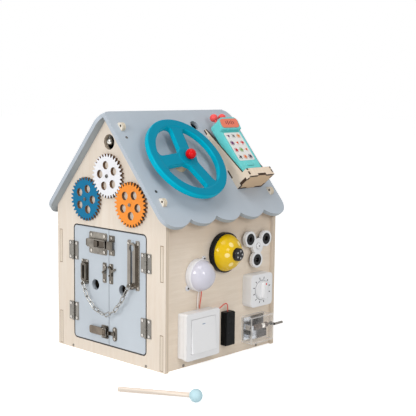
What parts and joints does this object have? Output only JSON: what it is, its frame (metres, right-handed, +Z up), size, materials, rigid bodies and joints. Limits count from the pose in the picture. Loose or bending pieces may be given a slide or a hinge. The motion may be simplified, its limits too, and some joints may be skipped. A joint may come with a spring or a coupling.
{
  "type": "wooden busy house",
  "caption": "Gabled play house of birch plywood with latched doors, meshed gears, steering wheel, toy phone, bell, lamp, spinner, timer and music box.",
  "frame": {"origin": "middle of the underside of the house", "axes": "+Z up, the doors face -Y, the wall with the bell and the switch faces +X"},
  "size_m": [0.4748, 0.444, 0.4587],
  "materials": {
    "front_wall": "bare birch plywood, clear coat",
    "roof_left": "satin grey-blue paint on plywood",
    "roof_discs": "bare wood",
    "panel_screws": "nickel plated sheet steel",
    "spinner_post": "nickel plated steel",
    "phone_cradle": "birch plywood with dark cut edges",
    "bell_base": "black",
    "bell_dome": "glossy yellow",
    "lamp_base": "white",
    "lamp_dome": "milky white",
    "lead_wires": "insulated wire",
    "battery_box": "black",
    "music_case": "clear plastic",
    "music_frame": "plated steel",
    "left_leaf": "satin pale grey-blue paint on plywood",
    "chain_left_1": "bright plated wire",
    "white_gear": "white paint, dark cut edges",
    "blue_gear": "blue paint, dark cut edges",
    "orange_gear": "orange paint, dark cut edges",
    "steering_wheel": "teal paint",
    "wheel_ball": "glossy red paint",
    "phone_body": "turquoise paint",
    "phone_trim": "coral paint",
    "spinner_rings": "black",
    "music_drum": "brass",
    "jingle_bell": "nickel plated",
    "mallet_ball": "pale blue paint"
  },
  "bodies": {
    "house": {"front_wall": "front_wall", "back_wall": "front_wall", "left_wall": "front_wall", "right_wall": "front_wall", "floor_panel": "front_wall", "roof_left": "roof_left", "roof_right": "roof_left", "roof_discs": "roof_discs", "panel_screws": "panel_screws", "hinge_frames": "panel_screws", "wheel_post": "roof_discs", "spinner_post": "spinner_post", "phone_cradle": "phone_cradle", "bell_base": "bell_base", "bell_dome": "bell_dome", "lamp_base": "lamp_base", "lamp_dome": "lamp_dome", "lead_wires": "lead_wires", "switch_box": "lamp_base", "battery_box": "battery_box", "timer_case": "lamp_base", "music_case": "music_case", "music_frame": "music_frame"},
    "left_door": {"left_leaf": "left_leaf", "left_hinge_leaves": "panel_screws", "bolt_guide": "panel_screws", "left_catches": "panel_screws"},
    "right_door": {"right_leaf": "left_leaf", "right_hinge_leaves": "panel_screws", "right_catches": "panel_screws", "chain_track": "panel_screws"},
    "steering_wheel": {"steering_wheel": "steering_wheel", "wheel_ball": "wheel_ball"},
    "phone": {"phone_body": "phone_body", "phone_keys": "lamp_base", "phone_trim": "phone_trim"},
    "spinner": {"spinner": "lamp_base", "spinner_rings": "spinner_rings"},
    "music_crank": {"music_crank": "spinner_post", "music_drum": "music_drum"},
    "mallet": {"mallet_stick": "roof_discs", "mallet_ball": "mallet_ball"},
    "slide_bolt": {"slide_bolt": "spinner_post"},
    "horn_arm": {"horn_arm": "spinner_post"},
    "toggle_lever": {"toggle_lever": "spinner_post"},
    "toggle_bail": {"toggle_bail": "spinner_post"},
    "chain_button": {"chain_button": "spinner_post"},
    "chain_left_1": {"chain_left_1": "chain_left_1"},
    "chain_left_2": {"chain_left_2": "chain_left_1"},
    "chain_left_3": {"chain_left_3": "chain_left_1"},
    "chain_right_1": {"chain_right_1": "chain_left_1"},
    "chain_right_2": {"chain_right_2": "chain_left_1"},
    "chain_right_3": {"chain_right_3": "chain_left_1"},
    "white_gear": {"white_gear": "white_gear"},
    "blue_gear": {"blue_gear": "blue_gear"},
    "orange_gear": {"orange_gear": "orange_gear"},
    "bell_knob": {"bell_knob": "bell_base"},
    "switch_rocker": {"switch_rocker": "lamp_base"},
    "timer_knob": {"timer_knob": "lamp_base"},
    "jingle_bell": {"jingle_bell": "jingle_bell"}
  },
  "joints": [
    {"name": "left_door_swing", "type": "hinge", "parent": "house", "child": "left_door", "pos_m": [-0.1006, -0.1524, 0.133], "axis": [0, 0, -1], "range_deg": [0, 110]},
    {"name": "right_door_swing", "type": "hinge", "parent": "house", "child": "right_door", "pos_m": [0.1006, -0.1524, 0.133], "axis": [0, 0, 1], "range_deg": [0, 110]},
    {"name": "bolt_slide", "type": "slide", "parent": "left_door", "child": "slide_bolt", "axis": [1, 0, 0], "range_m": [0, 0.018]},
    {"name": "horn_swing", "type": "hinge", "parent": "left_door", "child": "horn_arm", "pos_m": [-0.009, -0.1554, 0.162], "axis": [0, 1, 0], "range_deg": [-100, 60]},
    {"name": "toggle_lift", "type": "hinge", "parent": "left_door", "child": "toggle_lever", "pos_m": [-0.008, -0.1542, 0.0478], "axis": [0, 0, 1], "range_deg": [0, 100]},
    {"name": "bail_fold", "type": "hinge", "parent": "toggle_lever", "child": "toggle_bail", "pos_m": [-0.012, -0.1564, 0.0478], "axis": [0, 0, 1], "range_deg": [-131, 0]},
    {"name": "button_slide", "type": "slide", "parent": "right_door", "child": "chain_button", "axis": [0, 0, 1], "range_m": [0, 0.068]},
    {"name": "chain_left_bend_1", "type": "hinge", "parent": "left_door", "child": "chain_left_1", "pos_m": [-0.0605, -0.1622, 0.1345], "axis": [0, 1, 0], "range_deg": [0, 27.51]},
    {"name": "chain_left_bend_2", "type": "hinge", "parent": "chain_left_1", "child": "chain_left_2", "pos_m": [-0.04885, -0.1622, 0.11165], "axis": [0, 1, 0], "range_deg": [0, 19.51]},
    {"name": "chain_left_bend_3", "type": "hinge", "parent": "chain_left_2", "child": "chain_left_3", "pos_m": [-0.02906, -0.1622, 0.09255], "axis": [0, 1, 0], "range_deg": [0, 26.51]},
    {"name": "chain_right_bend_1", "type": "hinge", "parent": "chain_button", "child": "chain_right_1", "pos_m": [0.0674, -0.1622, 0.1485], "axis": [0, 1, 0], "range_deg": [-32.87, 0]},
    {"name": "chain_right_bend_2", "type": "hinge", "parent": "chain_right_1", "child": "chain_right_2", "pos_m": [0.0463, -0.1622, 0.11522], "axis": [0, 1, 0], "range_deg": [-10.09, 0]},
    {"name": "chain_right_bend_3", "type": "hinge", "parent": "chain_right_2", "child": "chain_right_3", "pos_m": [0.02791, -0.1622, 0.09478], "axis": [0, 1, 0], "range_deg": [-23.98, 0]},
    {"name": "white_gear_spin", "type": "hinge", "parent": "house", "child": "white_gear", "pos_m": [0.0018, -0.1537, 0.3415], "axis": [0, -1, 0], "continuous": true},
    {"name": "blue_gear_spin", "type": "hinge", "parent": "house", "child": "blue_gear", "pos_m": [-0.05984, -0.1537, 0.2942], "axis": [0, -1, 0], "continuous": true},
    {"name": "orange_gear_spin", "type": "hinge", "parent": "house", "child": "orange_gear", "pos_m": [0.06344, -0.1537, 0.2942], "axis": [0, -1, 0], "continuous": true},
    {"name": "steering_wheel_spin", "type": "hinge", "parent": "house", "child": "steering_wheel", "pos_m": [0.10741, -0.057, 0.37536], "axis": [0.766, 0, 0.6428], "continuous": true},
    {"name": "phone_slide", "type": "slide", "parent": "house", "child": "phone", "axis": [-0.6428, 0, 0.766], "range_m": [0, 0.22]},
    {"name": "spinner_spin", "type": "hinge", "parent": "house", "child": "spinner", "pos_m": [0.1535, 0.0906, 0.2036], "axis": [1, 0, 0], "continuous": true},
    {"name": "bell_knob_press", "type": "slide", "parent": "house", "child": "bell_knob", "axis": [-1, 0, 0], "range_m": [0, 0.003], "stiffness_N_per_m": 400},
    {"name": "rocker_tilt", "type": "hinge", "parent": "house", "child": "switch_rocker", "pos_m": [0.1666, -0.0722, 0.0611], "axis": [0, 1, 0], "range_deg": [0, 10]},
    {"name": "timer_turn", "type": "hinge", "parent": "house", "child": "timer_knob", "pos_m": [0.166, 0.0927, 0.1188], "axis": [1, 0, 0], "range_deg": [0, 330]},
    {"name": "music_crank_spin", "type": "hinge", "parent": "house", "child": "music_crank", "pos_m": [0.162, 0.129, 0.047], "axis": [0, 1, 0], "continuous": true},
    {"name": "jingle_swing", "type": "hinge", "parent": "house", "child": "jingle_bell", "pos_m": [0, -0.146, 0.4132], "axis": [0, 1, 0], "range_deg": [-30, 30]},
    {"name": "mallet_lift", "type": "slide", "parent": "house", "child": "mallet", "axis": [0, 0, 1], "range_m": [0, 0.1]}
  ],
  "couplings": [
    {"joint": "bail_fold", "follows": "toggle_lift", "ratio": -1.3},
    {"joint": "chain_left_bend_1", "follows": "left_door_swing", "ratio": 0.24558},
    {"joint": "chain_left_bend_2", "follows": "left_door_swing", "ratio": 0.17282},
    {"joint": "chain_left_bend_3", "follows": "left_door_swing", "ratio": 0.23649},
    {"joint": "chain_right_bend_1", "follows": "right_door_swing", "ratio": -0.29431},
    {"joint": "chain_right_bend_2", "follows": "right_door_swing", "ratio": -0.087205},
    {"joint": "chain_right_bend_3", "follows": "right_door_swing", "ratio": -0.21347},
    {"joint": "blue_gear_spin", "follows": "white_gear_spin", "ratio": -1},
    {"joint": "orange_gear_spin", "follows": "white_gear_spin", "ratio": -1}
  ]
}
